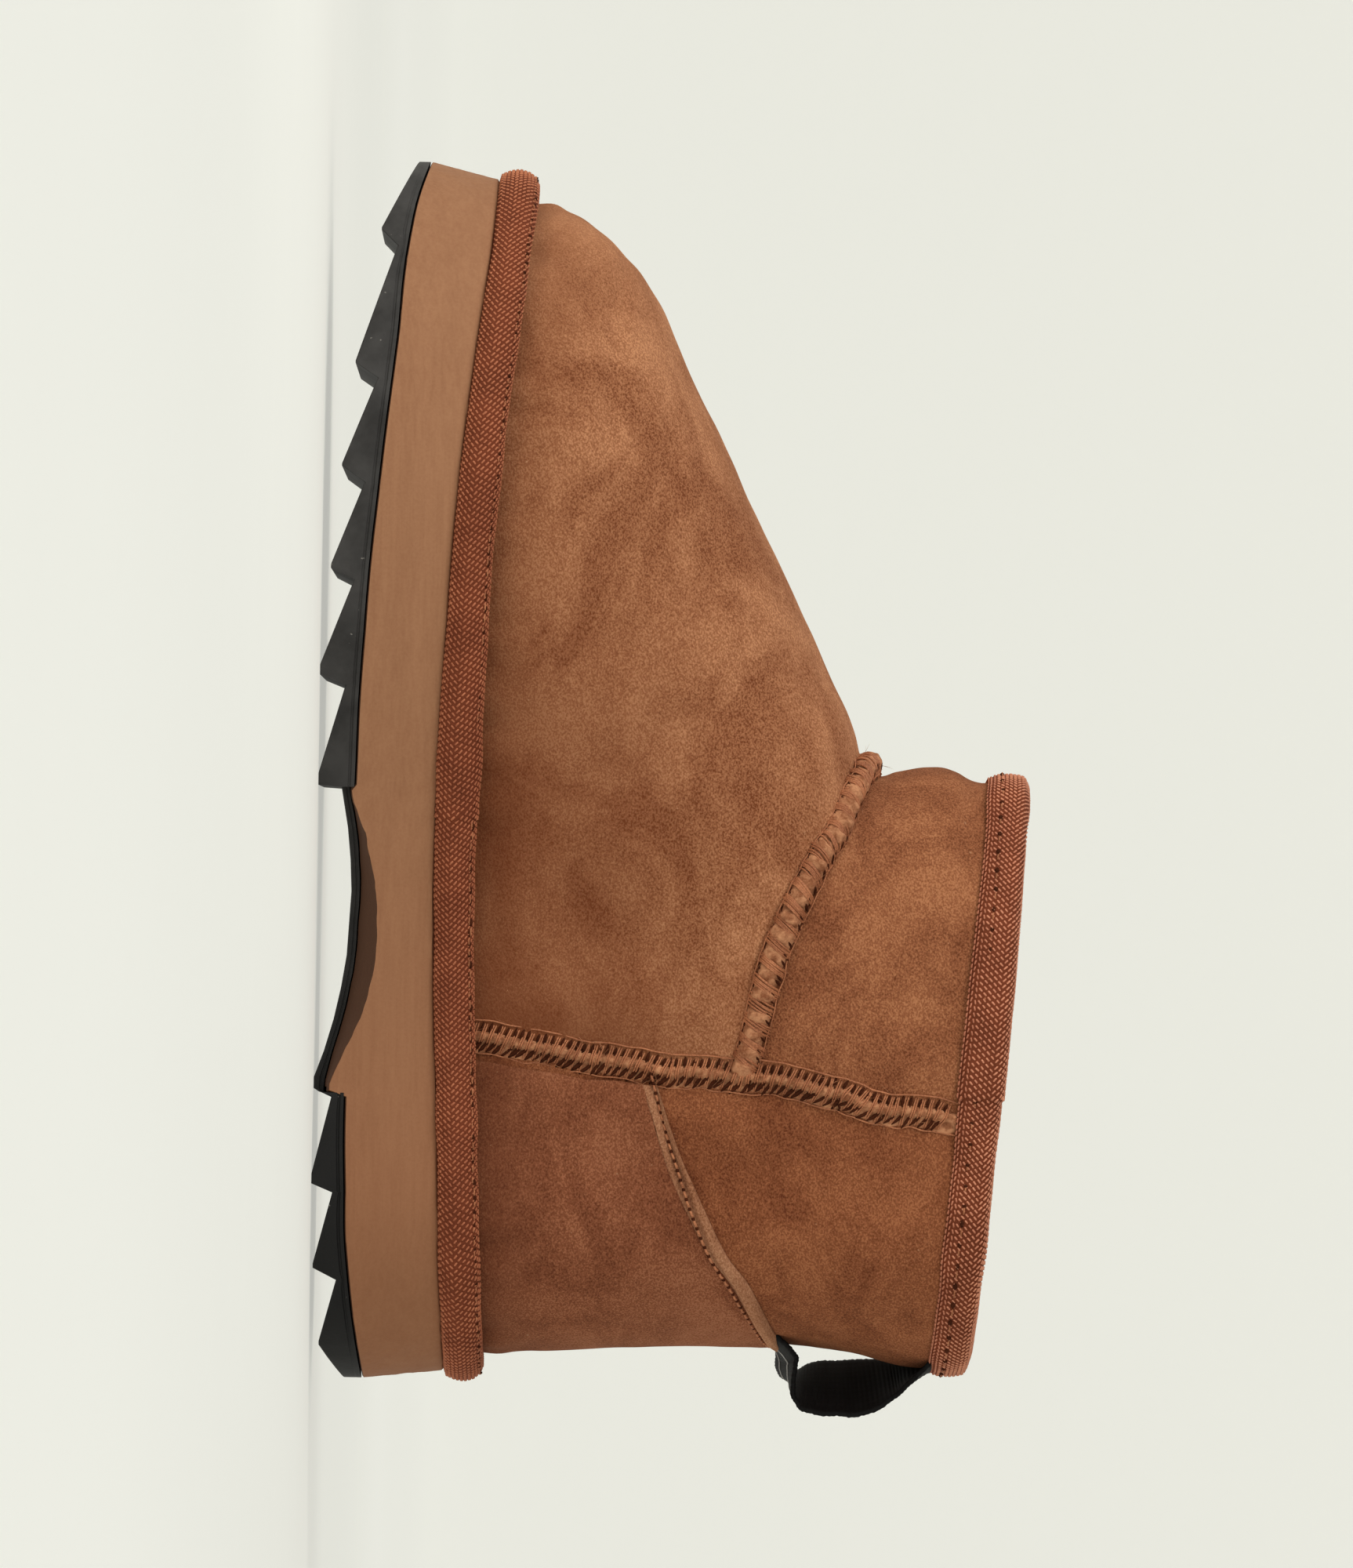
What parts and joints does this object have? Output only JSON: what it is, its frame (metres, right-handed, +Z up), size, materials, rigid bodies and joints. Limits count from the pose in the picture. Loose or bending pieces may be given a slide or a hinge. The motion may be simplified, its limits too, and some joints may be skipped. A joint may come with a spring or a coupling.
{
  "type": "sheepskin boot",
  "caption": "Pull-on ankle boot in tan sheepskin suede with a deep fleece lining, woven tape welt and collar, heel loop and a thick foam sole on saw-tooth rubber.",
  "frame": {"origin": "on the ground, under the middle of the boot's box", "axes": "+Z up, -Y towards the toe, +Y towards the heel, +X towards the inner side of the foot"},
  "size_m": [0.1074, 0.2754, 0.1572],
  "materials": {
    "suede": "brushed tan suede with a patchy nap",
    "counter_suede": "brushed suede, a little darker than the vamp",
    "fleece": "deep cream sheep fleece",
    "foam": "matt tan foam with fine milling lines",
    "rubber": "matt black rubber",
    "tape": "herringbone twill tape in reddish tan",
    "webbing": "black ribbed webbing with two thin pale lines"
  },
  "bodies": {
    "root": {"outsole": "rubber", "midsole": "foam", "insole": "fleece", "upper": "suede", "heel_counter": "counter_suede", "welt_binding": "tape", "collar_binding": "tape", "pull_loop": "webbing"}
  },
  "joints": []
}
